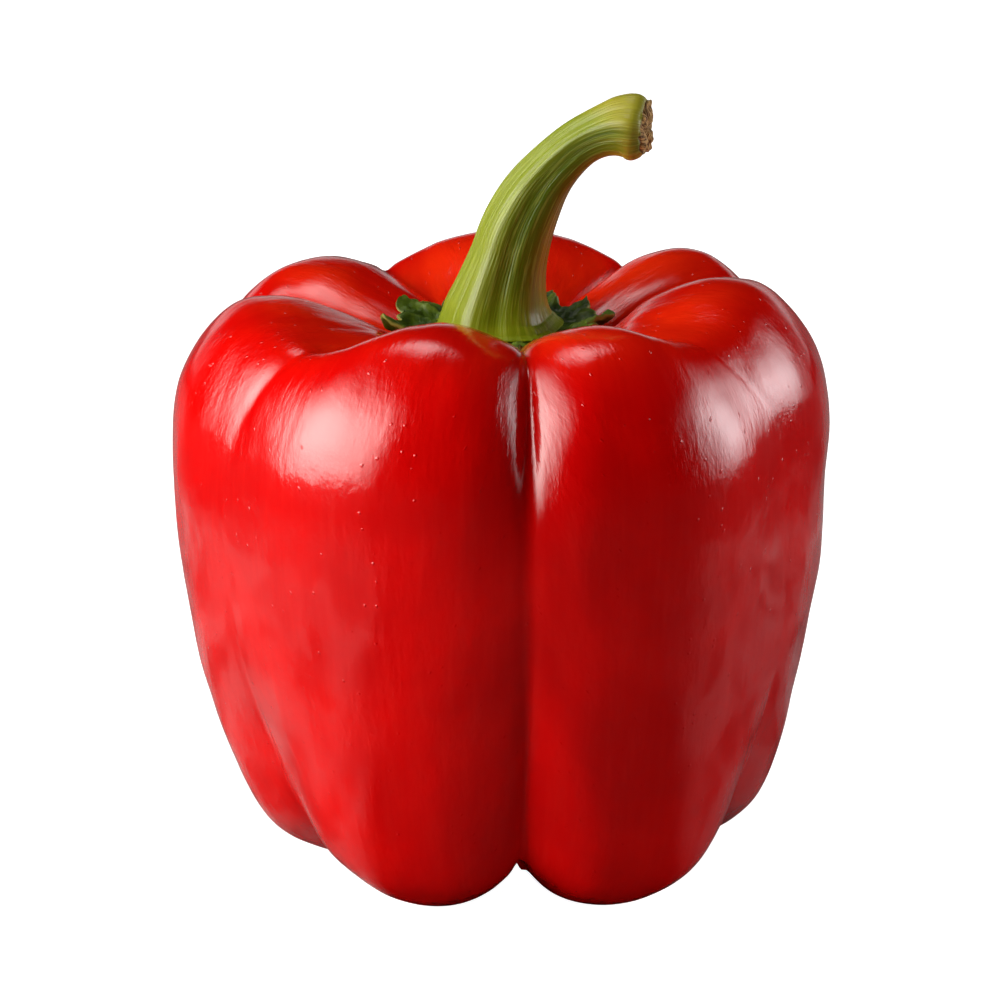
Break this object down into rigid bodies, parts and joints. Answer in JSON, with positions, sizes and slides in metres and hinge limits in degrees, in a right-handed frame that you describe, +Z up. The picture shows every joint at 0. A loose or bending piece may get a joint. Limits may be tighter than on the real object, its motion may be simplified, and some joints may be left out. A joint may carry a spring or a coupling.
{
  "type": "bell pepper",
  "caption": "Whole red bell pepper with rounded lobes, a sunk crown with a leafy calyx, and a ridged stem that bends over to one side.",
  "frame": {"origin": "on the surface that the fruit stands on, under the middle of the whole pepper", "axes": "+Z up through the crown, -Y the front, with the stem bending over towards +X"},
  "size_m": [0.0886, 0.089, 0.1081],
  "materials": {
    "skin": "waxy gloss",
    "calyx": "leafy, satin",
    "stem": "satin, with a dry corky cut end"
  },
  "bodies": {
    "root": {"fruit": "skin", "calyx": "calyx", "stem": "stem"}
  },
  "joints": []
}
